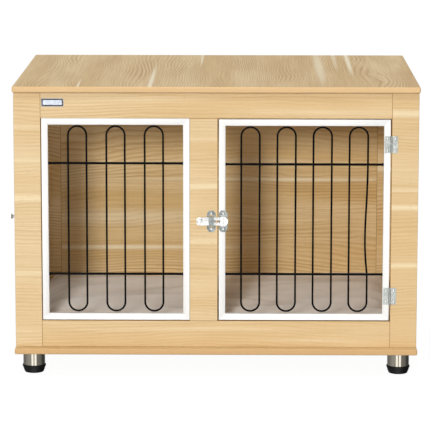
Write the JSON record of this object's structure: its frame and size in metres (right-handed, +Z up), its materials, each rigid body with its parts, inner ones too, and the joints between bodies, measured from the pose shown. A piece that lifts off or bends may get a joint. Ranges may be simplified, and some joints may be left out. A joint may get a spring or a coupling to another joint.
{
  "type": "dog crate end table",
  "caption": "Board-built dog crate that doubles as an end table, with a wire window, hinged and bolted wire doors in front and side, levelling feet and a floor cushion.",
  "frame": {"origin": "on the floor, under the middle of the crate", "axes": "+X to the right as seen from the front, +Y from the front to the back, +Z up"},
  "size_m": [0.81, 0.59, 0.578],
  "materials": {
    "oak_board": "oak-effect melamine on particle board, satin",
    "oak_top": "oak-effect melamine on particle board, satin, grain from front to back",
    "white_enamel": "white powder coat on steel tube, semi-gloss",
    "black_wire": "black powder coat on steel wire, semi-gloss",
    "zinc_plate": "zinc-plated steel, satin",
    "nickel_plate": "nickel-plated steel, bright",
    "foot_steel": "brushed stainless tube",
    "foot_plastic": "black moulded plastic, matt",
    "cushion_fabric": "taupe polyester cover, lightly wrinkled"
  },
  "bodies": {
    "carcass": {"top_panel": "oak_top", "base_panel": "oak_board", "front_left_post": "oak_board", "front_right_post": "oak_board", "front_top_rail": "oak_board", "front_bottom_rail": "oak_board", "front_middle_stile": "oak_board", "left_front_stile": "oak_board", "left_rear_stile": "oak_board", "left_top_rail": "oak_board", "left_bottom_rail": "oak_board", "right_side_panel": "oak_board", "rear_left_post": "oak_board", "rear_right_post": "oak_board", "back_panel": "oak_board", "window_frame": "white_enamel", "window_grille": "black_wire", "front_upper_hinge_frame_leaf": "zinc_plate", "front_upper_hinge_pin": "zinc_plate", "front_lower_hinge_frame_leaf": "zinc_plate", "front_lower_hinge_pin": "zinc_plate", "front_latch_guide": "zinc_plate", "front_latch_stop_pin": "zinc_plate", "side_upper_hinge_frame_leaf": "zinc_plate", "side_upper_hinge_pin": "zinc_plate", "side_lower_hinge_frame_leaf": "zinc_plate", "side_lower_hinge_pin": "zinc_plate", "side_latch_guide": "zinc_plate", "side_latch_stop_pin": "zinc_plate", "foot_tube_front_left": "foot_steel", "foot_tube_front_right": "foot_steel", "foot_tube_rear_left": "foot_steel", "foot_tube_rear_right": "foot_steel", "badge_plate": "nickel_plate", "cushion": "cushion_fabric"},
    "front_door": {"front_door_frame": "white_enamel", "front_door_grille": "black_wire", "front_upper_hinge_door_leaf": "zinc_plate", "front_lower_hinge_door_leaf": "zinc_plate", "front_latch_keeper": "zinc_plate"},
    "front_bolt": {"front_latch_bolt": "nickel_plate", "front_latch_knob": "nickel_plate"},
    "side_door": {"side_door_frame": "white_enamel", "side_door_grille": "black_wire", "side_upper_hinge_door_leaf": "zinc_plate", "side_lower_hinge_door_leaf": "zinc_plate", "side_latch_keeper": "zinc_plate"},
    "side_bolt": {"side_latch_bolt": "nickel_plate", "side_latch_knob": "nickel_plate"},
    "foot_front_left": {"foot_cap_front_left": "foot_plastic"},
    "foot_front_right": {"foot_cap_front_right": "foot_plastic"},
    "foot_rear_left": {"foot_cap_rear_left": "foot_plastic"},
    "foot_rear_right": {"foot_cap_rear_right": "foot_plastic"}
  },
  "joints": [
    {"name": "front_door_hinge", "type": "hinge", "parent": "carcass", "child": "front_door", "pos_m": [0.34465, -0.275, 0.31], "axis": [0, 0, 1], "range_deg": [0, 170]},
    {"name": "front_bolt_slide", "type": "slide", "parent": "carcass", "child": "front_bolt", "axis": [-1, 0, 0], "range_m": [0, 0.022]},
    {"name": "side_door_hinge", "type": "hinge", "parent": "carcass", "child": "side_door", "pos_m": [-0.401, 0.20565, 0.31], "axis": [0, 0, -1], "range_deg": [0, 170]},
    {"name": "side_bolt_slide", "type": "slide", "parent": "carcass", "child": "side_bolt", "axis": [0, -1, 0], "range_m": [0, 0.022]},
    {"name": "foot_level_front_left", "type": "slide", "parent": "carcass", "child": "foot_front_left", "axis": [0, 0, -1], "range_m": [0, 0.01]},
    {"name": "foot_level_front_right", "type": "slide", "parent": "carcass", "child": "foot_front_right", "axis": [0, 0, -1], "range_m": [0, 0.01]},
    {"name": "foot_level_rear_left", "type": "slide", "parent": "carcass", "child": "foot_rear_left", "axis": [0, 0, -1], "range_m": [0, 0.01]},
    {"name": "foot_level_rear_right", "type": "slide", "parent": "carcass", "child": "foot_rear_right", "axis": [0, 0, -1], "range_m": [0, 0.01]}
  ]
}
